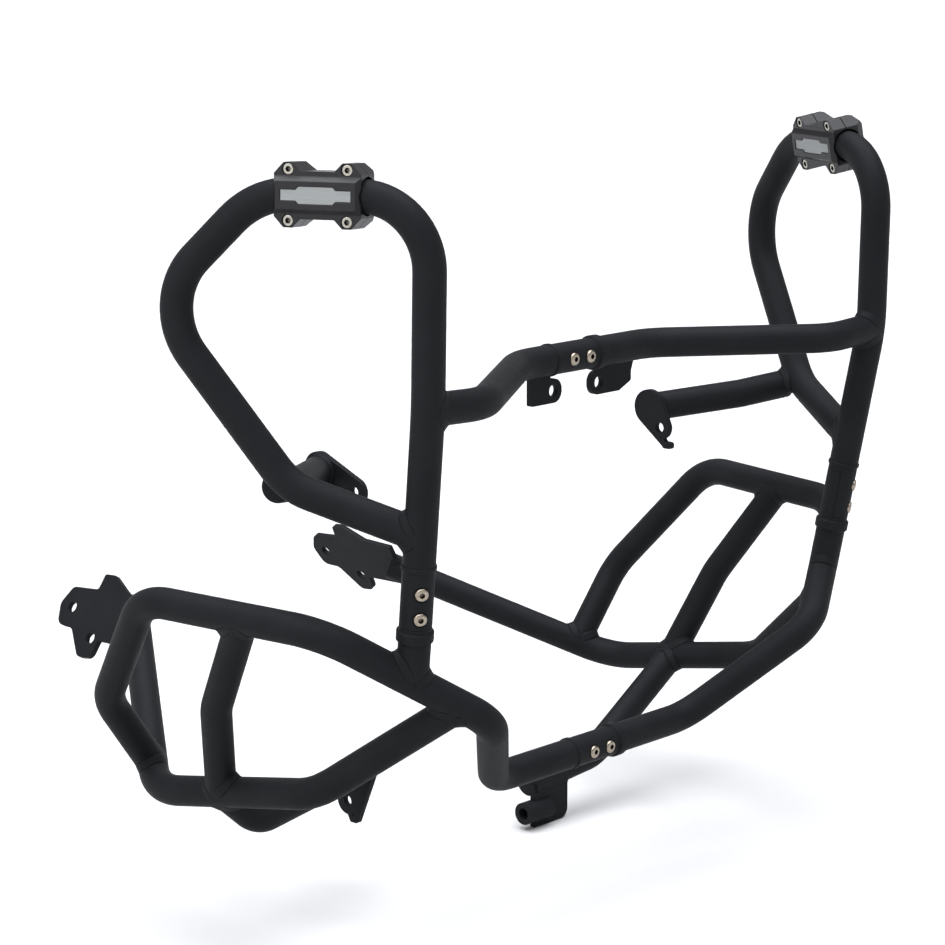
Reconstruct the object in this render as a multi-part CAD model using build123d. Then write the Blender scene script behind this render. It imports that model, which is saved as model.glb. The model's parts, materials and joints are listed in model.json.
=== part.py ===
from build123d import *
import os

# Motorcycle crash bars: two welded tube frames, bolted to each other at the middle, each with a bolted
# upright and a clamp block on its upper loop.
# Frame: +Z up, +Y to the rear of the motorcycle, +X to its left, millimetres.
# The origin is midway between the two head tab holes. Routes are given for the left side.

# Tube stock
TUBE_OD = 25.0
TUBE_WALL = 2.0
ROOT_GAP = 0.05
PLUG_FIT = 0.1
PLUG_LENGTH = 8.0
PLUG_DOME = 3.0
PLUG_ROUND = 2.7

# Upper loop: corners of its centre line and their bend radii
CROSS_JOINT = (273.5, -99.5, 28.5)
TOP_FRONT = (273.0, -102.0, 181.5)
TOP_REAR = (325.0, 22.5, 180.7)
LOOP_REAR = (362.0, 98.0, 97.0)
LOOP_CORNER = (314.5, 4.5, -36.0)
LOOP_END_RISE = 22.0
JOINT_BEND = 220.0
TOP_FRONT_BEND = 52.0
TOP_REAR_BEND = 70.0
LOOP_REAR_BEND = 55.0
LOOP_CORNER_BEND = 55.0

# Crossbar between the uprights, straight across the middle
CROSS_OUTER = (215.0, -99.5, 26.0)
CROSS_INNER = (80.0, -11.0, 28.0)
CROSS_BEND = 60.0

# Upper braces behind the loops' lower corners: the right one reaches further back
LEFT_BRACE_PLATE_END = (191.0, 75.0, -51.5)
LEFT_BRACE_BEND_POINT = (270.0, 38.0, -45.0)
RIGHT_BRACE_PLATE_END = (191.0, 103.0, -57.0)
RIGHT_BRACE_BEND_POINT = (272.0, 44.0, -47.0)
BRACE_OUTER_END = (311.0, 20.0, -39.0)
BRACE_BEND = 120.0

# Lower hoop, from the rail round to the middle
HOOP_ON_RAIL = 34.0
HOOP_REAR_LOW = (316.0, 221.0, -241.5)
HOOP_REAR_TOP = (347.5, 135.5, -138.5)
HOOP_FRONT_TOP = (320.0, -35.0, -141.0)
HOOP_FRONT_LOW = (201.5, -96.0, -221.5)
HOOP_INNER = (121.0, -23.0, -301.0)
HOOP_REAR_BEND = 45.0
HOOP_FRONT_BEND = 50.0
HOOP_LOW_BEND = 38.0

# Lower rail, from the rear plate forward to the hoop
RAIL_REAR_END = (158.5, 371.5, -239.0)
RAIL_REAR_CORNER = (284.5, 200.0, -321.5)
RAIL_FRONT_CORNER = (278.5, 18.5, -286.0)
RAIL_ON_HOOP = 125.5
RAIL_REAR_BEND = 60.0
RAIL_FRONT_BEND = 60.0

# Strut between hoop and rail
STRUT_ON_HOOP = 74.5
STRUT_BEND_POINT = (311.0, 94.5, -225.5)
STRUT_ON_RAIL = 78.5
STRUT_BEND = 60.0

# Lower stays: they start on the rail and differ from side to side
STAY_ON_RAIL = 79.5
RIGHT_STAY_ELBOW = (249.0, 117.0, -337.0)
RIGHT_STAY_END = (124.0, 126.0, -324.0)
RIGHT_STAY_BEND = 28.0
LEFT_STAY_ELBOW = (166.5, 120.0, -376.0)
LEFT_STAY_END = (78.0, 120.0, -383.0)
LEFT_STAY_BEND = 45.0

# Bolted splices: half laps, one half welded to a tube, the other plugged into the collared tube that it meets
FOOT_ON_HOOP = 81.5
STUB_HEIGHT = 43.0
SPLICE_LENGTH = 52.0
UPPER_SPLICE_START = -46.0
LOWER_SPLICE_START = -31.0
LAP_ROOT = 7.5
LAP_FOOT = 3.0
LAP_GAP = 0.2
INSERT_LENGTH = 20.0
INSERT_FIT = 0.1
COLLAR_RISE = 1.75
COLLAR_LENGTH = 10.0
COLLAR_BEVEL = 1.5
BEAD_RISE = 0.9
BEAD_LENGTH = 4.0
BEAD_BEVEL = 0.8
SPLICE_SCREW_FIRST = 20.0
SPLICE_SCREW_PITCH = 20.0
UPRIGHT_SCREW_FACE = (0.515, -0.857, 0.0)
CENTRE_SCREW_FACE = (0.0, -1.0, 0.0)

# M6 button head screw
M6_OD = 6.0
M6_HEAD_OD = 10.5
M6_HEAD_HEIGHT = 3.3
M6_HEAD_ROUND = 2.0
M6_LENGTH = 16.0
M6_SOCKET = 4.0
M6_SOCKET_DEPTH = 2.0
M6_SEAT_DEPTH = 1.8
M6_SEAT_CLEARANCE = 0.5
M6_HOLE_CLEARANCE = 0.2
THREAD_CLEARANCE = 0.05
THREAD_RUNOUT = 1.0

# Plates and tabs
PLATE_THICKNESS = 5.0
M8_HOLE = 9.0
M10_HOLE = 10.5
TAB_HOLE_SPACING = 56.0
TAB_LOBE = 10.0
TAB_LOBE_FLAT = 1.0
TAB_CORNER = 2.0
RIGHT_TAB_REACH = 27.0
RIGHT_TAB_NECK = 4.0
LEFT_TAB_REACH = 41.0
LEFT_TAB_CUT = 15.0
LEFT_TAB_LEAN = 8.0
BRACE_LOBE = 16.0
BRACE_HOLE = (62.0, -68.0)
BRACE_HOLE_LOBE = 10.5
BRACE_NUB_REACH = 13.0
NUB_DROP = 18.0
NUB_HEIGHT = 6.0
NUB_WIDTH = 9.0
NUB_ROUND = 2.5
STAY_LOBE = 15.0
STAY_HOLE = (142.0, -356.0)
STAY_HOLE_LOBE = 12.0
STAY_NUB_REACH = 12.0

# Rear plate: its facing, how far it lies outside the rail's axis, its holes, and the corners of its outline
# with their rounding, all measured rearward and up from the rail's end
REAR_PLATE_NORMAL = (0.873, 0.0, 0.488)
REAR_PLATE_OFFSET = 0.7
REAR_PLATE_HOLES = [(49.0, -21.0), (87.0, 1.8)]
REAR_PLATE_CORNERS = [
    (-12.0, -20.0, 0.0),
    (38.0, -21.5, 2.0),
    (40.0, -38.0, 7.0),
    (57.0, -40.5, 8.0),
    (78.0, -16.5, 8.0),
    (98.0, -16.5, 9.0),
    (104.0, 3.0, 10.0),
    (95.0, 20.0, 8.0),
    (62.0, 23.0, 3.0),
    (60.0, 38.0, 3.0),
    (47.0, 39.0, 4.0),
    (23.0, 26.5, 5.0),
    (-12.0, 25.0, 0.0),
]

# Left stay bracket and its bush
BRACKET_WIDTH = 44.5
BRACKET_DROP = 39.0
BRACKET_ROUND = 9.0
BRACKET_START = -2.0
BRACKET_FORWARD = 8.0
BUSH_OD = 20.0
BUSH_BORE = 10.5
BUSH_LENGTH = 32.0
BUSH_OVERHANG = 12.0
BUSH_DROP = 24.0

# Clamp block on the upper loop, turned on the tube by its roll: the badge looks up where that is positive
CLAMP_FROM_CORNER = 82.0
RIGHT_CLAMP_ROLL = 0.06
LEFT_CLAMP_ROLL = -0.18
CLAMP_LENGTH = 68.0
CLAMP_BODY_HEIGHT = 34.5
CLAMP_SIDE_HEIGHT = 31.0
CLAMP_BOSS_HEIGHT = 47.0
CLAMP_BOSS_TOP = 7.0
CLAMP_BOSS_DEPTH = 11.5
CLAMP_FRONT_DEPTH = 13.0
CLAMP_BACK_DEPTH = 18.5
CLAMP_BACK_LENGTH = 60.0
CLAMP_BACK_HEIGHT = 30.0
CLAMP_SPLIT = 0.6
CLAMP_BORE_CLEARANCE = 1.6
CLAMP_BAND_RISE = 4.0
CLAMP_BAND_HEIGHT = 27.0
CLAMP_BAND_FACE = 20.0
CLAMP_BAND_LENGTH = 62.5
CLAMP_SCREW_SPACING = 46.0
CLAMP_SCREW_HEIGHT = 37.0
LINER_LENGTH = 38.0
LINER_FIT = 0.1
BADGE_LENGTH = 54.5
BADGE_END_HEIGHT = 7.6
BADGE_MIDDLE_LENGTH = 31.0
BADGE_MIDDLE_HEIGHT = 12.2
BADGE_SLOPE = 2.3
BADGE_RECESS = 1.4
BADGE_THICKNESS = 0.8
BADGE_CLEARANCE = 0.3

# M5 socket head screw and nut
M5_OD = 5.0
M5_HEAD_OD = 8.5
M5_HEAD_HEIGHT = 5.0
M5_HEAD_ROUND = 0.6
M5_SOCKET = 4.0
M5_SOCKET_DEPTH = 2.5
M5_HOLE_CLEARANCE = 0.2
M5_HEAD_CLEARANCE = 0.3
M5_HEAD_SINK = 0.6
M5_NUT_ACROSS = 8.0
M5_NUT_HEIGHT = 4.0
M5_NUT_CLEARANCE = 0.2
M5_NUT_SINK = 1.0

TUBE_R = TUBE_OD / 2
BORE_R = TUBE_R - TUBE_WALL
UPWARD = (Align.CENTER, Align.CENTER, Align.MIN)
DOWNWARD = (Align.CENTER, Align.CENTER, Align.MAX)


def along(start, end, distance):
    """The point at a distance from start towards end."""
    start, end = Vector(start), Vector(end)
    return start + (end - start).normalized() * distance


def flip(point):
    """The same point on the other side of the middle plane."""
    return Vector(-Vector(point).X, Vector(point).Y, Vector(point).Z)


def other_side(shape):
    return mirror(shape, about=Plane.YZ)


def route(points, radii):
    """Straight runs joined by tangent bends."""
    return FilletPolyline(*points, radius=radii) if radii else Line(*points)


def bent(points, radii, section):
    path = route(points, radii)
    return sweep(Plane(origin=path @ 0, z_dir=path % 0) * section, path=path)


def tube(points, radii):
    return bent(points, radii, Circle(TUBE_R) - Circle(BORE_R))


def cope(points, radii):
    """The outside of a tube with the root gap of a weld, to cut the end of a tube or plate that meets it."""
    return bent(points, radii, Circle(TUBE_R + ROOT_GAP))


def rod(start, direction, radius, length):
    place = Plane(origin=start, z_dir=direction).location
    return place * Cylinder(radius, length, align=UPWARD)


def ring(start, direction, rise, length, bevel):
    """A raised ring on the outside of a tube, bevelled at both ends, from start along direction."""
    band = chamfer(Cylinder(TUBE_R + rise, length, align=UPWARD).edges(), bevel)
    bore = Cylinder(BORE_R + TUBE_WALL / 2, length, align=UPWARD)
    return Plane(origin=start, z_dir=direction).location * (band - bore)


def screw(diameter, length, head_diameter, head_height, head_round, socket, socket_depth):
    """A screw with its head seated on the XY plane and its shank down -Z."""
    head = Cylinder(head_diameter / 2, head_height, align=UPWARD)
    head = fillet(head.edges().sort_by(Axis.Z)[-1], head_round)
    key = extrude(Plane.XY.offset(head_height) * RegularPolygon(socket / 2, 6, major_radius=False), -socket_depth)
    return head + Cylinder(diameter / 2, length, align=DOWNWARD) - key


def plate(outline, radii, holes, thickness):
    """A flat plate in the XY plane, centred on it, with rounded corners and bolt holes."""
    face = make_face(FilletPolyline(*outline, radius=radii, close=True))
    for x, y in holes:
        face -= Pos(x, y) * Circle(M10_HOLE / 2)
    return extrude(face, thickness / 2, both=True)


# Places worked out from the corners, left side
HOOP_START = along(RAIL_REAR_CORNER, RAIL_REAR_END, HOOP_ON_RAIL)
RAIL_FRONT_END = along(HOOP_FRONT_TOP, HOOP_FRONT_LOW, RAIL_ON_HOOP)
STRUT_TOP = along(HOOP_FRONT_TOP, HOOP_REAR_TOP, STRUT_ON_HOOP)
STRUT_FOOT = along(RAIL_REAR_CORNER, RAIL_FRONT_CORNER, STRUT_ON_RAIL)
STAY_START = along(RAIL_REAR_CORNER, RAIL_FRONT_CORNER, STAY_ON_RAIL)
UPRIGHT_FOOT = along(HOOP_FRONT_TOP, HOOP_FRONT_LOW, FOOT_ON_HOOP)
STUB_TOP = along(UPRIGHT_FOOT, CROSS_JOINT, STUB_HEIGHT)
UPRIGHT_START = along(UPRIGHT_FOOT, CROSS_JOINT, STUB_HEIGHT + SPLICE_LENGTH)
LOOP_END = along(UPRIGHT_START, CROSS_JOINT, LOOP_END_RISE)
UPRIGHT_DOWN = (UPRIGHT_FOOT - Vector(CROSS_JOINT)).normalized()
CROSS_MIDDLE = Vector(0, CROSS_INNER[1], CROSS_INNER[2])
HOOP_MIDDLE = Vector(0, HOOP_INNER[1], HOOP_INNER[2])
LOOP_HALF_WAY = (Vector(LOOP_REAR) + Vector(LOOP_CORNER)) / 2
UPRIGHT_RUN = [UPRIGHT_START, CROSS_JOINT, along(CROSS_JOINT, TOP_FRONT, TUBE_OD * 2)]
RAIL_RUN = [RAIL_REAR_END, RAIL_REAR_CORNER, RAIL_FRONT_CORNER]
HOOP_RUN = [HOOP_REAR_TOP, HOOP_FRONT_TOP, HOOP_FRONT_LOW, HOOP_INNER]
STRUT_RUN = [STRUT_TOP, STRUT_BEND_POINT, STRUT_FOOT]


def upper_loop():
    """One tube, up from the splice, round the loop and back to its own upright."""
    loop = tube(
        [UPRIGHT_START, CROSS_JOINT, TOP_FRONT, TOP_REAR, LOOP_REAR, LOOP_HALF_WAY],
        [JOINT_BEND, TOP_FRONT_BEND, TOP_REAR_BEND, LOOP_REAR_BEND],
    )
    return_run = tube([LOOP_HALF_WAY, LOOP_CORNER, LOOP_END], [LOOP_CORNER_BEND])
    upright_core = rod(UPRIGHT_START, -UPRIGHT_DOWN, TUBE_R - TUBE_WALL / 2, TUBE_OD * 4)
    return loop + (return_run - upright_core)


def crossbar(end):
    bar = tube([CROSS_JOINT, CROSS_OUTER, CROSS_INNER, end], [CROSS_BEND, CROSS_BEND])
    return bar - cope(UPRIGHT_RUN, [JOINT_BEND])


def upper_brace(plate_end, bend_point):
    brace = tube([plate_end, bend_point, BRACE_OUTER_END], [BRACE_BEND])
    brace -= cope([LOOP_REAR, LOOP_CORNER, LOOP_END], [LOOP_CORNER_BEND])
    return square_end(brace, plate_end)


def brace_plug(bend_point):
    """Low domed plug in the brace's outer end, cut where the loop passes."""
    outward = Vector(BRACE_OUTER_END) - Vector(bend_point)
    body = Cylinder(BORE_R - PLUG_FIT, PLUG_LENGTH, align=DOWNWARD)
    cap = Cylinder(TUBE_R, PLUG_DOME, align=UPWARD)
    cap = fillet(cap.edges().sort_by(Axis.Z)[-1], PLUG_ROUND)
    plug = Plane(origin=BRACE_OUTER_END, z_dir=outward).location * (body + cap)
    return plug - cope([LOOP_REAR, LOOP_CORNER, LOOP_END], [LOOP_CORNER_BEND])


def lower_hoop(end):
    hoop = tube(
        [HOOP_START, HOOP_REAR_LOW, HOOP_REAR_TOP, HOOP_FRONT_TOP, HOOP_FRONT_LOW, HOOP_INNER, end],
        [HOOP_REAR_BEND, HOOP_REAR_BEND, HOOP_FRONT_BEND, HOOP_LOW_BEND, HOOP_LOW_BEND],
    )
    return hoop - cope(RAIL_RUN, [RAIL_REAR_BEND])


def lower_rail():
    rail = tube(RAIL_RUN + [RAIL_FRONT_END], [RAIL_REAR_BEND, RAIL_FRONT_BEND])
    return rail - cope(HOOP_RUN, [HOOP_FRONT_BEND, HOOP_LOW_BEND])


def end_plug(end, corner):
    """Flat plug that closes a tube's end."""
    return rod(end, Vector(corner) - Vector(end), BORE_R - PLUG_FIT, PLUG_LENGTH)


def hoop_strut():
    strut = tube(STRUT_RUN, [STRUT_BEND])
    return strut - cope(HOOP_RUN[:2], []) - cope(RAIL_RUN[1:], [])


def stay(elbow, end, bend):
    """A tube that leaves the rail below the strut's foot."""
    return tube([STAY_START, elbow, end], [bend]) - cope(RAIL_RUN[1:], []) - cope(STRUT_RUN, [STRUT_BEND])


def upright_stub():
    """Short tube on the hoop with a collar at its top."""
    stub = tube([UPRIGHT_FOOT, STUB_TOP], [])
    return collared(stub, STUB_TOP, UPRIGHT_DOWN) - cope(HOOP_RUN[1:3], [])


class Splice:
    """A half lap between two tube ends: one half welded to its tube, one plugged into the next, and two screws.

    It is built along +Z from the welded end, with the screws facing +X, and then put in its place.
    """

    def __init__(self, welded_end, direction, facing):
        self.place = Plane(origin=welded_end, x_dir=facing, z_dir=direction).location
        self.heights = [SPLICE_SCREW_FIRST, SPLICE_SCREW_FIRST + SPLICE_SCREW_PITCH]
        self.seat = TUBE_R - M6_SEAT_DEPTH

    def across(self, shape):
        """Copies of a shape turned to face +X, one at each screw."""
        turned = Rotation(0, 90, 0) * shape
        return [Pos(self.seat, 0, height) * turned for height in self.heights]

    def bar(self, start, end):
        return Pos(0, 0, start) * Cylinder(TUBE_R, end - start, align=UPWARD)

    def welded_half(self):
        """The half on the screw heads' side, with the weld's bead round its root."""
        bead = chamfer(Cylinder(TUBE_R + BEAD_RISE, BEAD_LENGTH, align=UPWARD).edges(), BEAD_BEVEL)
        body = self.bar(0, SPLICE_LENGTH - LAP_FOOT - LAP_GAP) + bead
        behind = (Align.MAX, Align.CENTER, Align.MIN)
        body -= Pos(LAP_GAP / 2, 0, LAP_ROOT) * Box(TUBE_OD, TUBE_OD, SPLICE_LENGTH, align=behind)
        seat_r = M6_HEAD_OD / 2 + M6_SEAT_CLEARANCE
        hole_r = M6_OD / 2 + M6_HOLE_CLEARANCE
        seat = Cylinder(seat_r, TUBE_OD, align=UPWARD) + Cylinder(hole_r, TUBE_R, align=DOWNWARD)
        for cut in self.across(seat):
            body -= cut
        return self.place * body

    def plugged_half(self):
        """The threaded half, with a plug that goes into the collared tube."""
        body = self.bar(LAP_ROOT + LAP_GAP, SPLICE_LENGTH)
        ahead = (Align.MIN, Align.CENTER, Align.MAX)
        lap_end = SPLICE_LENGTH - LAP_FOOT
        body -= Pos(-LAP_GAP / 2, 0, lap_end) * Box(TUBE_OD, TUBE_OD, SPLICE_LENGTH, align=ahead)
        body += Pos(0, 0, SPLICE_LENGTH) * Cylinder(BORE_R - INSERT_FIT, INSERT_LENGTH, align=UPWARD)
        thread = Cylinder(M6_OD / 2 + THREAD_CLEARANCE, M6_LENGTH + THREAD_RUNOUT, align=DOWNWARD)
        for cut in self.across(thread):
            body -= cut
        return self.place * body

    def screws(self):
        button = screw(
            M6_OD, M6_LENGTH, M6_HEAD_OD, M6_HEAD_HEIGHT, M6_HEAD_ROUND, M6_SOCKET, M6_SOCKET_DEPTH
        )
        return Compound(children=[self.place * one for one in self.across(button)])


def collared(bar, end, direction):
    """A tube whose end carries the collar that the splice butts against."""
    return bar + ring(end, direction, COLLAR_RISE, COLLAR_LENGTH, COLLAR_BEVEL)


def tab(outline, radii, hole_x):
    """A head tab: a plate across the motorcycle behind the crossbar, coped round its tube."""
    flat = Plane(origin=(0, 0, 0), x_dir=(1, 0, 0), z_dir=(0, -1, 0)).location
    body = flat * plate(outline, radii, [(hole_x, 0)], PLATE_THICKNESS)
    bead_r = TUBE_R + BEAD_RISE + ROOT_GAP
    bead = rod(CROSS_MIDDLE + Vector(UPPER_SPLICE_START, 0, 0), (1, 0, 0), bead_r, BEAD_LENGTH)
    return body - cope([flip(CROSS_INNER), CROSS_INNER], []) - bead


def right_head_tab():
    hole = -TAB_HOLE_SPACING / 2
    top = CROSS_INNER[2]
    outer = hole - RIGHT_TAB_REACH
    neck = hole - RIGHT_TAB_NECK
    tip = hole + TAB_LOBE
    outline = [(outer, -TAB_LOBE), (tip, -TAB_LOBE), (tip, TAB_LOBE), (neck, TAB_LOBE), (neck, top), (outer, top)]
    lobe_round = TAB_LOBE - TAB_LOBE_FLAT / 2
    return tab(outline, [TAB_CORNER, lobe_round, lobe_round, TAB_CORNER, 0, 0], hole)


def left_head_tab():
    hole = TAB_HOLE_SPACING / 2
    top = CROSS_INNER[2]
    tip = hole - TAB_LOBE
    outer = hole + LEFT_TAB_REACH
    outline = [
        (tip, -TAB_LOBE),
        (outer - LEFT_TAB_CUT, -TAB_LOBE),
        (outer, LEFT_TAB_CUT - TAB_LOBE - LEFT_TAB_LEAN),
        (outer, LEFT_TAB_CUT - TAB_LOBE),
        (outer + LEFT_TAB_LEAN, top),
        (hole, top),
        (hole, TAB_LOBE),
        (tip, TAB_LOBE),
    ]
    lobe_round = TAB_LOBE - TAB_LOBE_FLAT
    corners = [lobe_round, TAB_CORNER, TAB_CORNER, TAB_CORNER, 0, 0, TAB_LOBE_FLAT, lobe_round]
    return tab(outline, corners, hole)


def lobed_plate(tube_end, tube_lobe, hole, hole_lobe, nub_reach):
    """A plate square to X on a tube's inner end: a round lobe there, one at the bolt hole, and a small nub.

    The hole is given by its Y and Z. In the plate's own XY plane the tube's end is at the origin.
    """
    hole_x = hole[0] - tube_end[1]
    hole_y = hole[1] - tube_end[2]
    body = make_hull((Circle(tube_lobe) + Pos(hole_x, hole_y) * Circle(hole_lobe)).edges())
    nub_x = hole_x - nub_reach
    nub_y = hole_y - NUB_DROP
    nub = make_face(
        FilletPolyline(
            (nub_x, nub_y + NUB_HEIGHT),
            (nub_x, nub_y),
            (nub_x + NUB_WIDTH, nub_y),
            (hole_x + hole_lobe / 2, hole_y),
            (hole_x, hole_y + hole_lobe / 2),
            (hole_x - hole_lobe / 2, nub_y + NUB_HEIGHT),
            radius=[NUB_ROUND, NUB_ROUND, NUB_ROUND, 0, 0, 0],
            close=True,
        )
    )
    face = body + nub - Pos(hole_x, hole_y) * Circle(M8_HOLE / 2)
    middle = Vector(tube_end) - Vector(PLATE_THICKNESS / 2, 0, 0)
    place = Plane(origin=middle, x_dir=(0, 1, 0), z_dir=(1, 0, 0)).location
    return place * extrude(face, PLATE_THICKNESS / 2, both=True)


def square_end(bar, point):
    """Trims a tube's inner end to a plane square to X."""
    return split(bar, bisect_by=Plane(origin=point, z_dir=(1, 0, 0)), keep=Keep.TOP)


def bush_centre():
    return Vector(LEFT_STAY_END) + Vector(BRACKET_START, -BRACKET_FORWARD, -BUSH_DROP)


def left_stay_bush():
    start = bush_centre() - Vector(BUSH_OVERHANG, 0, 0)
    return rod(start, (1, 0, 0), BUSH_OD / 2, BUSH_LENGTH) - rod(start, (1, 0, 0), BUSH_BORE / 2, BUSH_LENGTH)


def left_stay_bracket():
    """A tab that hangs from the left stay and carries the bush at its lower inner corner."""
    centre = bush_centre()
    flat = Plane(origin=centre, x_dir=(1, 0, 0), z_dir=(0, -1, 0)).location
    low = BUSH_DROP - BRACKET_DROP
    outline = [(0, low), (BRACKET_WIDTH, low), (BRACKET_WIDTH, BUSH_DROP), (0, BUSH_DROP)]
    body = flat * plate(outline, [0, BRACKET_ROUND, 0, 0], [], PLATE_THICKNESS)
    start = centre - Vector(BUSH_OVERHANG, 0, 0)
    body -= rod(start, (1, 0, 0), BUSH_OD / 2 + ROOT_GAP, BUSH_LENGTH + ROOT_GAP)
    return body - cope([LEFT_STAY_ELBOW, LEFT_STAY_END], [])


def rear_plate():
    """A flat plate along the rail's rear end with two bolt holes, one behind and one below."""
    outline = [(rearward, up) for rearward, up, _ in REAR_PLATE_CORNERS]
    radii = [radius for _, _, radius in REAR_PLATE_CORNERS]
    origin = Vector(RAIL_REAR_END) + Vector(REAR_PLATE_NORMAL).normalized() * REAR_PLATE_OFFSET
    place = Plane(origin=origin, x_dir=(0, 1, 0), z_dir=REAR_PLATE_NORMAL).location
    body = place * plate(outline, radii, REAR_PLATE_HOLES, PLATE_THICKNESS)
    return body - cope(RAIL_RUN[:2], [])


class Clamp:
    """A two-piece block on the loop's top run, held by four screws.

    It is built with the tube along X, up along Y and the badge face towards +Z, and then put in place.
    """

    def __init__(self, top_front, top_rear, roll):
        centre = along(top_front, top_rear, CLAMP_FROM_CORNER)
        run = (Vector(top_rear) - Vector(top_front)).normalized()
        across = run.cross(Vector(0, 0, 1)).normalized()
        face = across.cross(run) * roll - across
        self.place = Plane(origin=centre, x_dir=run, z_dir=face).location
        half_x = CLAMP_SCREW_SPACING / 2
        half_y = CLAMP_SCREW_HEIGHT / 2
        self.corners = [(x, y) for x in (-half_x, half_x) for y in (-half_y, half_y)]
        self.bore = Rotation(0, 90, 0) * Cylinder(TUBE_R + CLAMP_BORE_CLEARANCE, CLAMP_LENGTH * 2)
        self.head_seat = CLAMP_FRONT_DEPTH - M5_HEAD_HEIGHT - M5_HEAD_SINK
        self.nut_seat = M5_NUT_HEIGHT + M5_NUT_SINK - CLAMP_BOSS_DEPTH

    def outline(self):
        """The block seen from its face: a body with a bevelled boss at each corner."""
        half = CLAMP_LENGTH / 2
        side = CLAMP_SIDE_HEIGHT / 2
        body = CLAMP_BODY_HEIGHT / 2
        top = CLAMP_BOSS_HEIGHT / 2
        boss_x = CLAMP_SCREW_SPACING / 2
        flat = CLAMP_BOSS_TOP / 2
        rise = top - body
        quarter = [(half, side), (boss_x + flat, top), (boss_x - flat, top), (boss_x - flat - rise, body)]
        upper = quarter + [(-x, y) for x, y in reversed(quarter)]
        lower = [(x, -y) for x, y in reversed(upper)]
        return make_face(Polyline(*upper, *lower, close=True))

    def badge_outline(self, margin):
        end = BADGE_LENGTH / 2 + margin
        low = BADGE_END_HEIGHT / 2 + margin
        middle = BADGE_MIDDLE_LENGTH / 2 + margin
        high = BADGE_MIDDLE_HEIGHT / 2 + margin
        quarter = [(end, low), (middle, low), (middle - BADGE_SLOPE, high)]
        upper = quarter + [(-x, y) for x, y in reversed(quarter)]
        lower = [(x, -y) for x, y in reversed(upper)]
        return make_face(Polyline(*upper, *lower, close=True))

    def taper(self, base, base_length, base_height, top, top_length, top_height):
        """A block that narrows from one rectangle to another, each at its own height along Z."""
        return loft(
            [
                Plane.XY.offset(base) * Rectangle(base_length, base_height),
                Plane.XY.offset(top) * Rectangle(top_length, top_height),
            ]
        )

    def front(self):
        block = extrude(Plane.XY.offset(CLAMP_SPLIT / 2) * self.outline(), CLAMP_FRONT_DEPTH - CLAMP_SPLIT / 2)
        face = CLAMP_FRONT_DEPTH + CLAMP_BAND_RISE
        block += self.taper(
            CLAMP_FRONT_DEPTH, CLAMP_LENGTH, CLAMP_BAND_HEIGHT, face, CLAMP_BAND_LENGTH, CLAMP_BAND_FACE
        )
        block -= extrude(Plane.XY.offset(face) * self.badge_outline(BADGE_CLEARANCE), -BADGE_RECESS)
        block -= self.bore
        head_r = M5_HEAD_OD / 2 + M5_HEAD_CLEARANCE
        for x, y in self.corners:
            block -= Pos(x, y, 0) * Cylinder(M5_OD / 2 + M5_HOLE_CLEARANCE, CLAMP_LENGTH)
            block -= Pos(x, y, self.head_seat) * Cylinder(head_r, CLAMP_LENGTH, align=UPWARD)
        return self.place * block

    def back(self):
        block = extrude(Plane.XY.offset(-CLAMP_SPLIT / 2) * self.outline(), CLAMP_SPLIT / 2 - CLAMP_BACK_DEPTH)
        envelope = Box(CLAMP_LENGTH, CLAMP_BOSS_HEIGHT, CLAMP_BOSS_DEPTH, align=DOWNWARD)
        envelope += self.taper(
            -CLAMP_BOSS_DEPTH,
            CLAMP_LENGTH,
            CLAMP_BOSS_HEIGHT,
            -CLAMP_BACK_DEPTH,
            CLAMP_BACK_LENGTH,
            CLAMP_BACK_HEIGHT,
        )
        block = (block & envelope) - self.bore
        pocket = RegularPolygon(M5_NUT_ACROSS / 2 + M5_NUT_CLEARANCE, 6, major_radius=False)
        for x, y in self.corners:
            block -= Pos(x, y, 0) * Cylinder(M5_OD / 2 + M5_HOLE_CLEARANCE, CLAMP_LENGTH)
            block -= extrude(Pos(x, y, self.nut_seat) * pocket, -CLAMP_LENGTH)
        return self.place * block

    def liner(self):
        """Rubber sleeve between the tube and the block, on the straight of the tube."""
        outer = Cylinder(TUBE_R + CLAMP_BORE_CLEARANCE - LINER_FIT, LINER_LENGTH)
        sleeve = outer - Cylinder(TUBE_R + LINER_FIT, LINER_LENGTH)
        return self.place * (Rotation(0, 90, 0) * sleeve)

    def badge(self):
        """Bare metal plate on the floor of its recess."""
        floor = CLAMP_FRONT_DEPTH + CLAMP_BAND_RISE - BADGE_RECESS
        return self.place * extrude(Plane.XY.offset(floor) * self.badge_outline(0), BADGE_THICKNESS)

    def screws(self):
        length = self.head_seat - self.nut_seat + M5_NUT_HEIGHT
        one = screw(M5_OD, length, M5_HEAD_OD, M5_HEAD_HEIGHT, M5_HEAD_ROUND, M5_SOCKET, M5_SOCKET_DEPTH)
        return Compound(children=[self.place * (Pos(x, y, self.head_seat) * one) for x, y in self.corners])

    def nuts(self):
        hexagon = RegularPolygon(M5_NUT_ACROSS / 2, 6, major_radius=False)
        one = extrude(hexagon - Circle(M5_OD / 2 + THREAD_CLEARANCE), -M5_NUT_HEIGHT)
        return Compound(children=[self.place * (Pos(x, y, self.nut_seat) * one) for x, y in self.corners])


def brace_parts(plate_end, bend_point):
    return {
        "upper_brace": upper_brace(plate_end, bend_point),
        "brace_plug": brace_plug(bend_point),
        "brace_plate": lobed_plate(plate_end, BRACE_LOBE, BRACE_HOLE, BRACE_HOLE_LOBE, BRACE_NUB_REACH),
    }


def clamp_parts(side, top_front, top_rear, roll):
    clamp = Clamp(top_front, top_rear, roll)
    return {
        f"{side}_clamp_front": clamp.front(),
        f"{side}_clamp_back": clamp.back(),
        f"{side}_clamp_liner": clamp.liner(),
        f"{side}_clamp_badge": clamp.badge(),
        f"{side}_clamp_screws": clamp.screws(),
        f"{side}_clamp_nuts": clamp.nuts(),
    }


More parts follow.
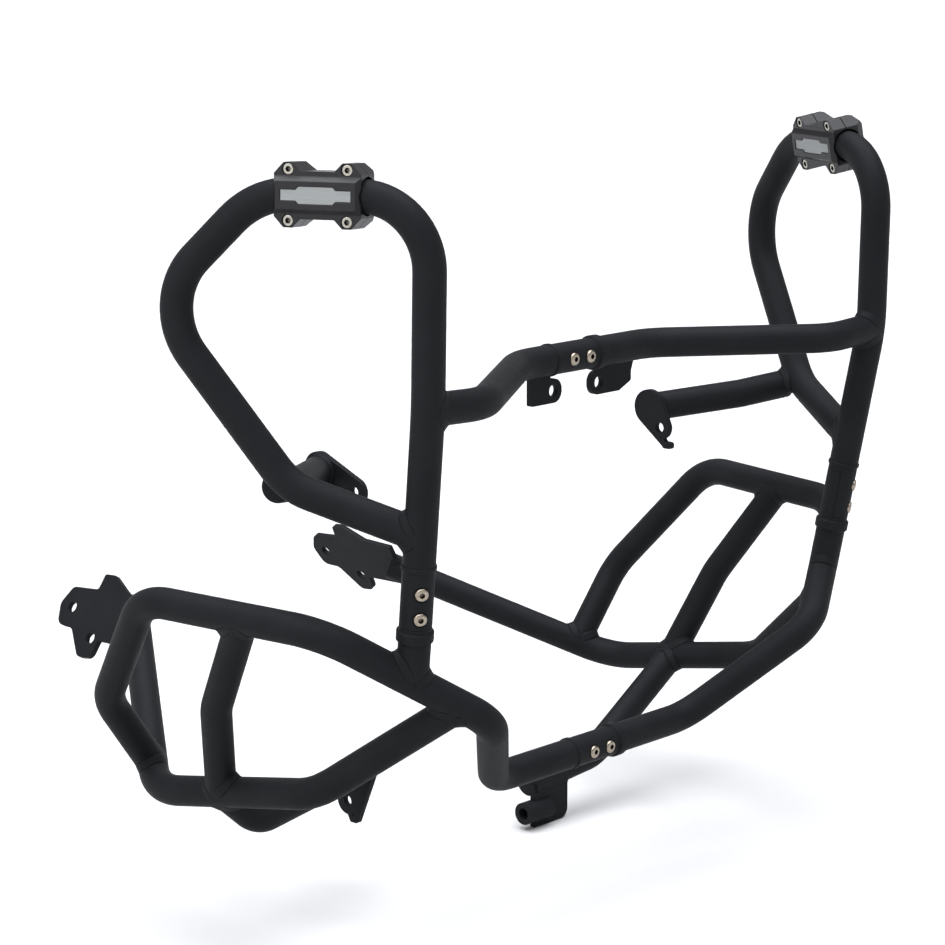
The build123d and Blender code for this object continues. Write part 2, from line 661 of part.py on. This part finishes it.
def splice_parts(name, splice):
    return {
        f"{name}_welded_half": splice.welded_half(),
        f"{name}_plugged_half": splice.plugged_half(),
        f"{name}_screws": splice.screws(),
    }


def all_parts():
    mirrored = {
        "upper_loop": upper_loop(),
        "lower_rail": lower_rail(),
        "rail_plug": end_plug(RAIL_REAR_END, RAIL_REAR_CORNER),
        "rear_plate": rear_plate(),
        "hoop_strut": hoop_strut(),
        "upright_stub": upright_stub(),
    }
    upright = Splice(UPRIGHT_START, UPRIGHT_DOWN, UPRIGHT_SCREW_FACE)
    mirrored.update(splice_parts("upright_splice", upright))
    parts = {}
    for name, shape in mirrored.items():
        parts[f"left_{name}"] = shape
        parts[f"right_{name}"] = other_side(shape)

    to_left = Vector(1, 0, 0)
    for name, middle, start, build in (
        ("crossbar", CROSS_MIDDLE, UPPER_SPLICE_START, crossbar),
        ("lower_hoop", HOOP_MIDDLE, LOWER_SPLICE_START, lower_hoop),
    ):
        welded_end = middle + to_left * start
        joint = welded_end + to_left * SPLICE_LENGTH
        parts[f"right_{name}"] = other_side(build(flip(welded_end)))
        parts[f"left_{name}"] = collared(build(joint), joint, to_left)
        parts.update(splice_parts(f"{name}_splice", Splice(welded_end, to_left, CENTRE_SCREW_FACE)))

    for name, shape in brace_parts(LEFT_BRACE_PLATE_END, LEFT_BRACE_BEND_POINT).items():
        parts[f"left_{name}"] = shape
    for name, shape in brace_parts(RIGHT_BRACE_PLATE_END, RIGHT_BRACE_BEND_POINT).items():
        parts[f"right_{name}"] = other_side(shape)

    right_stay = stay(RIGHT_STAY_ELBOW, RIGHT_STAY_END, RIGHT_STAY_BEND)
    right_bracket = lobed_plate(RIGHT_STAY_END, STAY_LOBE, STAY_HOLE, STAY_HOLE_LOBE, STAY_NUB_REACH)
    parts["right_lower_stay"] = other_side(square_end(right_stay, RIGHT_STAY_END))
    parts["right_stay_bracket"] = other_side(right_bracket)
    parts["left_lower_stay"] = stay(LEFT_STAY_ELBOW, LEFT_STAY_END, LEFT_STAY_BEND)
    parts["left_stay_bracket"] = left_stay_bracket()
    parts["left_stay_bush"] = left_stay_bush()
    parts["left_stay_plug"] = end_plug(LEFT_STAY_END, LEFT_STAY_ELBOW)
    parts["right_head_tab"] = right_head_tab()
    parts["left_head_tab"] = left_head_tab()
    parts.update(clamp_parts("right", flip(TOP_FRONT), flip(TOP_REAR), RIGHT_CLAMP_ROLL))
    parts.update(clamp_parts("left", Vector(TOP_FRONT), Vector(TOP_REAR), LEFT_CLAMP_ROLL))
    return parts


os.makedirs("parts", exist_ok=True)
for part_name, part_shape in all_parts().items():
    export_step(part_shape, f"parts/{part_name}.step")
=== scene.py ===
import json
import math

import bmesh
import bpy
from mathutils import Matrix, Vector
from mathutils.bvhtree import BVHTree


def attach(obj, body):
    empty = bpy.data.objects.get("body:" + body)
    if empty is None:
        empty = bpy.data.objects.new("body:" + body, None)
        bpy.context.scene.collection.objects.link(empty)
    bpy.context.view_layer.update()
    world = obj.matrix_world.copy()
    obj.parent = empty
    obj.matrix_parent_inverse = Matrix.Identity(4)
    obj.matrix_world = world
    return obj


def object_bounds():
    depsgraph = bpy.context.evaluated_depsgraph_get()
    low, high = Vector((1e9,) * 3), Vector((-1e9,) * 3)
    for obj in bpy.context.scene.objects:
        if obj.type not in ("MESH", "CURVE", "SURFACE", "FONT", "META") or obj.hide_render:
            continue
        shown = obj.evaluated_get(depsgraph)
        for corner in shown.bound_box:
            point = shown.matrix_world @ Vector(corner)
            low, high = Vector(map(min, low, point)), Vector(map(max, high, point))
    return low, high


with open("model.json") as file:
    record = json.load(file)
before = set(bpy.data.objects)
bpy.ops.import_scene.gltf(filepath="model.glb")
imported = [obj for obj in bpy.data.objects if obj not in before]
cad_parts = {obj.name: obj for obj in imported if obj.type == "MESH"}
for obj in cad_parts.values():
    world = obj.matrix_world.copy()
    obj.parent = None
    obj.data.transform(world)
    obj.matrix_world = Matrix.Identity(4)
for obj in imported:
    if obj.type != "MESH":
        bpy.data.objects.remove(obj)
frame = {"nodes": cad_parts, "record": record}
cad_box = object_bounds()
MM = 0.001

# Camera of the photograph: focal length in pixels of a 945 pixel frame, place and aim in metres
PHOTO_FOCAL_PX = 2800.0
PHOTO_WIDTH_PX = 945.0
SENSOR_MM = 36.0
CAMERA_PLACE = (-1.698, -1.483, 0.390)
CAMERA_AIM = (-0.0316, 0.0841, -0.0790)

# The studio: half the floor's width and its drop below the part in metres, then the lights
FLOOR_HALF = 200.0
FLOOR_DROP = 0.0005
SILK_STRENGTH = 5.9
SILK_SPREAD = 75.0
SOFTBOX_PLACE = (-2.5, 0.2, 1.4)
SOFTBOX_AIM = (0.0, 0.1, -0.1)
SOFTBOX_SIZE = (1.6, 2.0)
SOFTBOX_WATTS = 40.0
HORIZON_GLOW = 1.0
ZENITH_GLOW = 0.25

# Weld sizes in millimetres, and the points across a weld as shares of its face
TUBE_WELD_LEG = 5.0
PLATE_WELD_LEG = 3.5
WELD_SINK = 0.12
WELD_RISE = 0.45
WELD_STEP = 1.6
WELD_ROOT = 0.5
WELD_HOLLOW = 0.35
WELD_SECTION = (0.0, 0.25, 0.5, 0.75, 1.0)

# How a cut rim is found: how near it lies to the other piece in millimetres, how sharp its edge is in
# degrees, and its length as a share of the longest one
RIM_NEAR = 0.2
RIM_ANGLE = 25.0
RIM_SHARE = 0.9

# Points of a CAD mesh that are nearer than this, in millimetres, are one point
MERGE_GAP = 0.02

# Edges of the lobed plates in millimetres: the plate's middle along X, and Y and Z of each round
PLATE_THICKNESS = 5.0
EDGE_PROUD = 0.2
EDGE_ROUND = 4.0
NUB_ROUND = 2.5
HOLLOW_ROUND = 2.0
REAR_EDGE = 1
FRONT_EDGE = -1
BRACE_PLATE_X = 188.5
BRACE_LOBE_R = 16.0
LEFT_BRACE_LOBE = (75.0, -51.5)
RIGHT_BRACE_LOBE = (103.0, -57.0)
BRACE_NUB = (55.5, -83.5)
BRACE_HOLLOW = (64.5, -77.0)
STAY_BRACKET_X = -121.5
STAY_LOBE_R = 15.0
STAY_LOBE = (126.0, -324.0)
STAY_NUB = (132.5, -371.5)
STAY_HOLLOW = (133.0, -361.0)

# How far the walls of a screw's socket shade it, millimetres
SOCKET_REACH = 3.0

# Facets round a new tube and a new plate's corner, and rays round a tube's end
TUBE_FACETS = 96
CORNER_FACETS = 48
RIM_RAYS = 72

# Places of the loop's welded end on the left upright, millimetres. Rays run just inside the tube's outside.
TUBE_R = 12.5
RAY_SHARE = 0.99
LOOP_END = (266.43, -84.68, -67.80)
LOOP_CORNER = (314.5, 4.5, -36.0)
UPRIGHT_FOOT = (257.97, -66.93, -183.14)
CROSS_JOINT = (273.5, -99.5, 28.5)


def colour(code):
    """An sRGB hex value as a linear colour."""
    channels = [int(code[i:i + 2], 16) / 255 for i in (1, 3, 5)]
    linear = [c / 12.92 if c <= 0.04045 else ((c + 0.055) / 1.055) ** 2.4 for c in channels]
    return (*linear, 1.0)


def add(tree, kind, inputs, **settings):
    """One node with its settings; an input is a value or the socket that feeds it."""
    made = tree.nodes.new(kind)
    for key, value in settings.items():
        setattr(made, key, value)
    for key, value in inputs.items():
        if isinstance(value, bpy.types.NodeSocket):
            tree.links.new(value, made.inputs[key])
        else:
            made.inputs[key].default_value = value
    return made


def finish(name, **sockets):
    """A material with a bare Principled shader and the given constants on its sockets."""
    material = bpy.data.materials.new(name)
    material.use_nodes = True
    tree = material.node_tree
    shader = tree.nodes["Principled BSDF"]
    for key, value in sockets.items():
        shader.inputs[key.replace("_", " ")].default_value = value
    place = add(tree, "ShaderNodeTexCoord", {}).outputs["Object"]
    return material, tree, shader, place


def per_metre(size_mm):
    """The texture scale that gives features of a size in millimetres."""
    return 1000.0 / size_mm


def powder_coat():
    """Black polyester powder coat on steel, baked: satin, faintly blue where light rakes it, with a fine
    orange-peel grain. The grain is about 0.5 mm and is drawn at 1.4 mm so that it shows. The coat rounds each
    edge by about 0.8 mm."""
    material, tree, shader, place = finish("satin_powder_coat", Specular_IOR_Level=0.06)
    cloud = add(tree, "ShaderNodeTexNoise", {"Vector": place, "Scale": per_metre(45), "Detail": 3.0})
    tone = add(tree, "ShaderNodeValToRGB", {"Fac": cloud.outputs["Fac"]})
    tone.color_ramp.elements[0].position = 0.3
    tone.color_ramp.elements[0].color = colour("#17181a")
    tone.color_ramp.elements[1].position = 0.7
    tone.color_ramp.elements[1].color = colour("#1b1c1e")
    grain = add(tree, "ShaderNodeTexNoise", {"Vector": place, "Scale": per_metre(1.4), "Detail": 2.0})
    sheen = add(tree, "ShaderNodeMapRange", {
        "Value": grain.outputs["Fac"], "From Min": 0.3, "From Max": 0.7, "To Min": 0.5, "To Max": 0.62})
    edge = add(tree, "ShaderNodeBevel", {"Radius": 0.8 * MM}, samples=4)
    bump = add(tree, "ShaderNodeBump", {
        "Height": grain.outputs["Fac"], "Strength": 0.18, "Distance": 0.2 * MM,
        "Normal": edge.outputs["Normal"]})
    tree.links.new(tone.outputs["Color"], shader.inputs["Base Color"])
    tree.links.new(sheen.outputs["Result"], shader.inputs["Roughness"])
    tree.links.new(bump.outputs["Normal"], shader.inputs["Normal"])
    return material


def clamp_coat():
    """Semi-gloss black paint on cast alloy: darker and shinier than the tubes, over a fine cast grain, which
    mottles its tone a little. The grain is about 0.4 mm and is drawn at 1.2 mm so that it shows."""
    material, tree, shader, place = finish("semi_gloss_cast_paint", Roughness=0.33, Specular_IOR_Level=0.28)
    cast = add(tree, "ShaderNodeTexNoise", {"Vector": place, "Scale": per_metre(1.2), "Detail": 3.0})
    edge = add(tree, "ShaderNodeBevel", {"Radius": 0.7 * MM}, samples=6)
    bump = add(tree, "ShaderNodeBump", {
        "Height": cast.outputs["Fac"], "Strength": 0.15, "Distance": 0.2 * MM,
        "Normal": edge.outputs["Normal"]})
    tone = add(tree, "ShaderNodeValToRGB", {"Fac": cast.outputs["Fac"]})
    tone.color_ramp.elements[0].color = colour("#0d0d0f")
    tone.color_ramp.elements[1].color = colour("#161619")
    tree.links.new(tone.outputs["Color"], shader.inputs["Base Color"])
    tree.links.new(bump.outputs["Normal"], shader.inputs["Normal"])
    return material


def turned_steel(name, pale, dark, socket_shade, roughness, grain_mm):
    """Turned steel: bright, with a fine grain left by the tool, and painted shade darkening its socket and
    round its seat, where the walls keep the light out."""
    material, tree, shader, place = finish(name, Metallic=1.0, Roughness=roughness)
    grain = add(tree, "ShaderNodeTexNoise", {"Vector": place, "Scale": per_metre(grain_mm), "Detail": 4.0})
    tone = add(tree, "ShaderNodeValToRGB", {"Fac": grain.outputs["Fac"]})
    tone.color_ramp.elements[0].position = 0.3
    tone.color_ramp.elements[0].color = colour(dark)
    tone.color_ramp.elements[1].position = 0.65
    tone.color_ramp.elements[1].color = colour(pale)
    bump = add(tree, "ShaderNodeBump", {
        "Height": grain.outputs["Fac"], "Strength": 0.1, "Distance": 0.05 * MM})
    # Painted shade: where the walls of the socket and seat close in, ambient occlusion darkens the base
    # colour towards the shade colour
    open_sky = add(tree, "ShaderNodeAmbientOcclusion", {"Distance": SOCKET_REACH * MM}, samples=8)
    unshaded = add(tree, "ShaderNodeMapRange", {
        "Value": open_sky.outputs["AO"], "From Min": 0.45, "From Max": 0.85})
    shaded = add(tree, "ShaderNodeMixRGB", {
        "Fac": unshaded.outputs["Result"], "Color1": colour(socket_shade), "Color2": tone.outputs["Color"]})
    tree.links.new(shaded.outputs["Color"], shader.inputs["Base Color"])
    tree.links.new(bump.outputs["Normal"], shader.inputs["Normal"])
    return material


def badge_aluminium():
    """Satin aluminium sheet, brushed along the plate, which spreads the light into a soft grey. The scratches
    are about 0.1 mm apart and are drawn 0.45 mm apart and 17 mm long so that they show."""
    material, tree, shader, place = finish("brushed_badge_aluminium", Metallic=0.85, Roughness=0.42)
    stretch = add(tree, "ShaderNodeMapping", {
        "Vector": place, "Scale": (per_metre(17), per_metre(17), per_metre(0.45))})
    brush = add(tree, "ShaderNodeTexNoise", {
        "Vector": stretch.outputs["Vector"], "Scale": 1.0, "Detail": 3.0})
    tone = add(tree, "ShaderNodeValToRGB", {"Fac": brush.outputs["Fac"]})
    tone.color_ramp.elements[0].color = colour("#767979")
    tone.color_ramp.elements[1].color = colour("#8d9091")
    bump = add(tree, "ShaderNodeBump", {
        "Height": brush.outputs["Fac"], "Strength": 0.12, "Distance": 0.05 * MM})
    tree.links.new(tone.outputs["Color"], shader.inputs["Base Color"])
    tree.links.new(bump.outputs["Normal"], shader.inputs["Normal"])
    return material


def liner_rubber():
    """Black moulded rubber: matt, with a dusty bloom in patches."""
    material, tree, shader, place = finish("liner_rubber", Roughness=0.8)
    bloom = add(tree, "ShaderNodeTexNoise", {"Vector": place, "Scale": per_metre(6), "Detail": 4.0})
    tone = add(tree, "ShaderNodeValToRGB", {"Fac": bloom.outputs["Fac"]})
    tone.color_ramp.elements[0].color = colour("#101011")
    tone.color_ramp.elements[1].color = colour("#1d1d1e")
    tree.links.new(tone.outputs["Color"], shader.inputs["Base Color"])
    return material


FINISHES = {
    "coat": powder_coat(),
    "clamp_coat": clamp_coat(),
    # The third colour of each screw is painted shade for its socket and the ring round its seat
    "splice_screw": turned_steel("stainless_button_head", "#a89e90", "#7a7064", "#1c1916", 0.3, 1.0),
    "clamp_screw": turned_steel("bright_plated_screw", "#b3b0a6", "#8d8a81", "#2a2926", 0.25, 1.0),
    "badge": badge_aluminium(),
    "liner": liner_rubber(),
}


def dress_cad():
    """Every CAD node takes the finish of its slot."""
    for entry in frame["record"]["subparts"]:
        node = frame["nodes"][entry["node"]]
        node.data.materials.clear()
        node.data.materials.append(FINISHES[entry["material_slot"]])


def merged(node):
    """A copy of a CAD node's mesh with its loose triangles joined."""
    mesh = bmesh.new()
    mesh.from_mesh(frame["nodes"][node].data)
    bmesh.ops.remove_doubles(mesh, verts=mesh.verts, dist=MERGE_GAP * MM)
    return mesh


class Surface:
    """The surfaces of one or more meshes, for nearest points and rays."""

    def __init__(self, *meshes):
        self.trees = [BVHTree.FromBMesh(mesh) for mesh in meshes]

    def nearest(self, point):
        found = [tree.find_nearest(point) for tree in self.trees]
        return min(found, key=lambda hit: hit[3])

    def distance(self, point):
        return self.nearest(point)[3]


def runs(edges):
    """Edges chained end to end: lists of points in order, each with whether it closes on itself."""
    left = set(edges)
    beside = {}
    for edge in edges:
        for vert in edge.verts:
            beside.setdefault(vert, []).append(edge)
    starts = [vert for vert, near in beside.items() if len(near) != 2]
    out = []
    for first in starts + list(beside):
        edge = next((e for e in beside[first] if e in left), None)
        run = [first]
        while edge:
            left.discard(edge)
            run.append(edge.other_vert(run[-1]))
            edge = next((e for e in beside[run[-1]] if e in left), None)
        if len(run) > 3:
            closed = run[0] == run[-1]
            out.append((run[:-1] if closed else run, closed))
    return out


def cut_rims(branch, others):
    """Where a piece was cut to fit others: the longest runs of points round the cut, which leaves out the
    bore's, with the piece's own normals."""
    edges = []
    outward = {}
    for edge in branch.edges:
        if len(edge.link_faces) != 2 or edge.calc_face_angle() < math.radians(RIM_ANGLE):
            continue
        if any(others.distance(vert.co) > RIM_NEAR * MM for vert in edge.verts):
            continue
        edges.append(edge)
        outer = max(edge.link_faces, key=lambda face: others.distance(face.calc_center_median()))
        for vert in edge.verts:
            outward[vert] = outward.get(vert, Vector()) + outer.normal
    found = runs(edges)
    lengths = [sum((b.co - a.co).length for a, b in zip(run, run[1:])) for run, _ in found]
    return [
        ([(vert.co.copy(), outward[vert].normalized()) for vert in run], closed)
        for (run, closed), length in zip(found, lengths)
        if length > RIM_SHARE * max(lengths)
    ]


def cast_rim(end, back, surface):
    """Where a straight tube's outside runs into a surface, found by rays along the tube."""
    way = (Vector(end) - Vector(back)).normalized()
    ring = bmesh.new()
    turn = way.to_track_quat("Z", "Y").to_matrix().to_4x4()
    bmesh.ops.create_circle(ring, segments=RIM_RAYS, radius=RAY_SHARE * TUBE_R * MM, matrix=turn)
    rim = []
    for vert in ring.verts:
        spot = Vector(back) * MM + vert.co
        hit = surface.trees[0].ray_cast(spot, way)[0]
        if hit:
            rim.append((hit, vert.co.normalized()))
    ring.free()
    return rim


def even(rim, closed, step):
    """The rim's points again at an even spacing."""
    line = rim + rim[:1] if closed else rim
    lengths = [(b[0] - a[0]).length for a, b in zip(line, line[1:])]
    total = sum(lengths)
    wanted = max(6, round(total / step))
    out = []
    i, done = 0, 0.0
    for k in range(wanted if closed else wanted + 1):
        target = total * k / wanted
        while i < len(lengths) - 1 and done + lengths[i] < target:
            done += lengths[i]
            i += 1
        share = min(1.0, (target - done) / lengths[i]) if lengths[i] else 0.0
        a, b = line[i], line[i + 1]
        out.append((a[0].lerp(b[0], share), a[1].lerp(b[1], share).normalized()))
    return out


def coated(name, shape):
    """A new steel piece under the powder coat."""
    mesh = bpy.data.meshes.new(name)
    shape.to_mesh(mesh)
    shape.free()
    piece = bpy.data.objects.new(name, mesh)
    bpy.context.collection.objects.link(piece)
    mesh.materials.append(FINISHES["coat"])
    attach(piece, "root")


def bead(name, rows, closed):
    """Weld metal through rows of points, each row a closed section across the weld."""
    count = len(rows) if closed else len(rows) - 1
    across = len(rows[0])
    sheet = bmesh.new()
    bmesh.ops.create_grid(sheet, x_segments=count, y_segments=across, size=0.5)
    for vert in sheet.verts:
        i = round((vert.co.x + 0.5) * count) % len(rows)
        j = round((vert.co.y + 0.5) * across) % across
        vert.co = rows[i][j]
    bmesh.ops.remove_doubles(sheet, verts=sheet.verts, dist=0.001 * MM)
    bmesh.ops.holes_fill(sheet, edges=[edge for edge in sheet.edges if edge.is_boundary])
    bmesh.ops.recalc_face_normals(sheet, faces=sheet.faces)
    for face in sheet.faces:
        face.smooth = True
    coated(name, sheet)


def weld(name, rim, closed, own, others, leg_mm):
    """A fillet of weld metal round a rim, from the piece's own surface to the surface it is welded to."""
    rim = even(rim, closed, WELD_STEP * MM)
    points = [point for point, _ in rim]
    ahead = points[1:] + (points[:1] if closed else points[-1:])
    behind = (points[-1:] if closed else points[:1]) + points[:-1]
    tangents = [(b - a).normalized() for a, b in zip(behind, ahead)]
    hits = [others.nearest(point) for point in points]
    sides = [(normal.cross(t), hit[1].cross(t)) for (_, normal), t, hit in zip(rim, tangents, hits)]
    own_sign = math.copysign(1, sum(s[0].dot(hit[1]) for s, hit in zip(sides, hits)))
    other_sign = math.copysign(1, sum(s[1].dot(normal) for s, (_, normal) in zip(sides, rim)))
    rows = []
    for (point, normal), side, hit in zip(rim, sides, hits):
        a = own.nearest(point + side[0] * own_sign * leg_mm * MM)
        b = others.nearest(point + side[1] * other_sign * leg_mm * MM)
        start = a[0] - a[1] * WELD_SINK * MM
        end = b[0] - b[1] * WELD_SINK * MM
        up = (normal + hit[1]).normalized()
        heart = ((start + end) / 2).lerp(point, WELD_HOLLOW) + up * WELD_RISE * MM
        curve = [start * (1 - s) ** 2 + heart * 2 * s * (1 - s) + end * s ** 2 for s in WELD_SECTION]
        rows.append([point - up * WELD_ROOT * MM] + curve)
    bead(name, rows, closed)


def weld_to(branch, others, leg_mm):
    """The welds where one CAD node was cut to others."""
    mesh = merged(branch)
    target = Surface(*[merged(other) for other in others])
    for i, (rim, closed) in enumerate(cut_rims(mesh, target)):
        weld(f"{branch}_to_{others[0]}_weld_{i}", rim, closed, Surface(mesh), target, leg_mm)


def flipped(point, sign):
    """A point of the left side, or its mirror image where the sign is -1."""
    return (point[0] * sign, point[1], point[2])


def loop_weld(side, sign):
    """The weld where the loop's tube comes back to its own upright."""
    foot = Vector(flipped(UPRIGHT_FOOT, sign)) * MM
    top = Vector(flipped(CROSS_JOINT, sign)) * MM
    post = bmesh.new()
    turn = (top - foot).to_track_quat("Z", "Y").to_matrix().to_4x4()
    turn.translation = (foot + top) / 2
    bmesh.ops.create_cone(
        post, segments=TUBE_FACETS, radius1=TUBE_R * MM, radius2=TUBE_R * MM, depth=(top - foot).length,
        matrix=turn)
    upright = Surface(post)
    loop = Surface(merged(f"{side}_upper_loop"))
    rim = cast_rim(flipped(LOOP_END, sign), flipped(LOOP_CORNER, sign), upright)
    weld(f"{side}_upper_return_weld", rim, True, loop, upright, TUBE_WELD_LEG)


def plate_edge(name, middle_x, lobe, lobe_r, nub, hollow, turn):
    """The straight rear or front edge of a lobed plate, from the lobe on its tube down to its nub."""
    gap = Vector(nub) - Vector(lobe)
    tangent = math.pi / 2 - math.asin((lobe_r - NUB_ROUND) / gap.length)
    lean = math.atan2(gap.y, gap.x) + turn * tangent
    start = Vector(lobe) + (lobe_r - EDGE_ROUND) * Vector((math.cos(lean), math.sin(lean)))
    web = bmesh.new()
    for (y, z), radius in ((start, EDGE_ROUND), (nub, NUB_ROUND), (hollow, HOLLOW_ROUND)):
        place = Matrix.Translation(Vector((middle_x, y, z)) * MM) @ Matrix.Rotation(math.pi / 2, 4, "Y")
        bmesh.ops.create_cone(
            web, segments=CORNER_FACETS, radius1=radius * MM, radius2=radius * MM,
            depth=(PLATE_THICKNESS + EDGE_PROUD) * MM, matrix=place)
    hull = bmesh.ops.convex_hull(web, input=web.verts)
    inside = hull["geom_interior"] + hull["geom_unused"]
    spare = [item for item in inside if isinstance(item, bmesh.types.BMVert)]
    bmesh.ops.delete(web, geom=spare, context="VERTS")
    bmesh.ops.dissolve_limit(web, angle_limit=math.radians(1), verts=web.verts, edges=web.edges)
    bmesh.ops.recalc_face_normals(web, faces=web.faces)
    coated(name, web)


def all_plate_edges():
    """The edges of both brace plates and of the right stay bracket."""
    for side, sign, lobe in (("left", 1, LEFT_BRACE_LOBE), ("right", -1, RIGHT_BRACE_LOBE)):
        plate_edge(
            f"{side}_brace_plate_edge", sign * BRACE_PLATE_X, lobe, BRACE_LOBE_R, BRACE_NUB, BRACE_HOLLOW,
            REAR_EDGE)
    plate_edge(
        "right_stay_bracket_edge", STAY_BRACKET_X, STAY_LOBE, STAY_LOBE_R, STAY_NUB, STAY_HOLLOW, FRONT_EDGE)


def all_welds():
    """Every weld between tubes, and between tubes and plates."""
    for side, sign in (("left", 1), ("right", -1)):
        loop_weld(side, sign)
        for branch, other in (
            ("crossbar", "upper_loop"),
            ("upper_brace", "upper_loop"),
            ("lower_hoop", "lower_rail"),
            ("lower_rail", "lower_hoop"),
            ("upright_stub", "lower_hoop"),
            ("hoop_strut", "lower_hoop"),
            ("hoop_strut", "lower_rail"),
        ):
            weld_to(f"{side}_{branch}", [f"{side}_{other}"], TUBE_WELD_LEG)
        weld_to(f"{side}_lower_stay", [f"{side}_lower_rail", f"{side}_hoop_strut"], TUBE_WELD_LEG)
        weld_to(f"{side}_upper_brace", [f"{side}_brace_plate"], PLATE_WELD_LEG)
        weld_to(f"{side}_rear_plate", [f"{side}_lower_rail"], PLATE_WELD_LEG)
    weld_to("right_lower_stay", ["right_stay_bracket"], PLATE_WELD_LEG)
    weld_to("left_stay_bracket", ["left_lower_stay"], PLATE_WELD_LEG)
    weld_to("left_stay_bracket", ["left_stay_bush"], PLATE_WELD_LEG)
    weld_to("right_head_tab", ["right_crossbar"], PLATE_WELD_LEG)
    weld_to("left_head_tab", ["left_crossbar"], PLATE_WELD_LEG)


def floor():
    """Pale matt studio paper under the lowest point."""
    sheet = bmesh.new()
    bmesh.ops.create_grid(sheet, x_segments=1, y_segments=1, size=FLOOR_HALF)
    mesh = bpy.data.meshes.new("studio_floor")
    sheet.to_mesh(mesh)
    sheet.free()
    for vert in mesh.vertices:
        vert.co.z = cad_box[0][2] - FLOOR_DROP
    paper = bpy.data.objects.new("studio_floor", mesh)
    bpy.context.collection.objects.link(paper)
    sockets = {"Base_Color": colour("#c9c9c9"), "Roughness": 0.9, "Specular_IOR_Level": 0.1}
    mesh.materials.append(finish("white_studio_paper", **sockets)[0])


def aimed(place, aim):
    """The turn that points a light or a camera from its place to its aim."""
    return (Vector(aim) - Vector(place)).to_track_quat("-Z", "Y").to_euler()


def overhead_silk():
    """A broad soft light from straight above."""
    sun = bpy.data.lights.new("overhead_silk", "SUN")
    sun.energy = SILK_STRENGTH
    sun.angle = math.radians(SILK_SPREAD)
    sun.color = colour("#f8faff")[:3]
    bpy.context.collection.objects.link(bpy.data.objects.new("overhead_silk", sun))


def left_softbox():
    """A softbox at the left of the picture."""
    light = bpy.data.lights.new("left_softbox", "AREA")
    light.shape = "RECTANGLE"
    light.size, light.size_y = SOFTBOX_SIZE
    light.energy = SOFTBOX_WATTS
    box = bpy.data.objects.new("left_softbox", light)
    box.location = SOFTBOX_PLACE
    box.rotation_euler = aimed(SOFTBOX_PLACE, SOFTBOX_AIM)
    bpy.context.collection.objects.link(box)


def surround():
    """A white surround that is brightest at the horizon."""
    world = bpy.data.worlds.new("studio")
    bpy.context.scene.world = world
    world.use_nodes = True
    tree = world.node_tree
    way = add(tree, "ShaderNodeTexCoord", {}).outputs["Generated"]
    height = add(tree, "ShaderNodeSeparateXYZ", {"Vector": way}).outputs["Z"]
    glow = add(tree, "ShaderNodeMapRange", {
        "Value": height, "From Min": 0.1, "From Max": 0.4, "To Min": HORIZON_GLOW, "To Max": ZENITH_GLOW})
    back = tree.nodes["Background"]
    tree.links.new(glow.outputs["Result"], back.inputs["Strength"])
    back.inputs["Color"].default_value = colour("#ffffff")


def photo_camera():
    """The camera that took the photograph, as solved from the tubes."""
    data = bpy.data.cameras.new("photo_camera")
    data.sensor_width = SENSOR_MM
    data.lens = PHOTO_FOCAL_PX / PHOTO_WIDTH_PX * SENSOR_MM
    camera = bpy.data.objects.new("photo_camera", data)
    camera.location = CAMERA_PLACE
    camera.rotation_euler = aimed(CAMERA_PLACE, CAMERA_AIM)
    bpy.context.collection.objects.link(camera)
    bpy.context.scene.camera = camera


dress_cad()
all_welds()
all_plate_edges()
floor()
overhead_silk()
left_softbox()
surround()
photo_camera()
bpy.context.scene.view_settings.view_transform = "Standard"
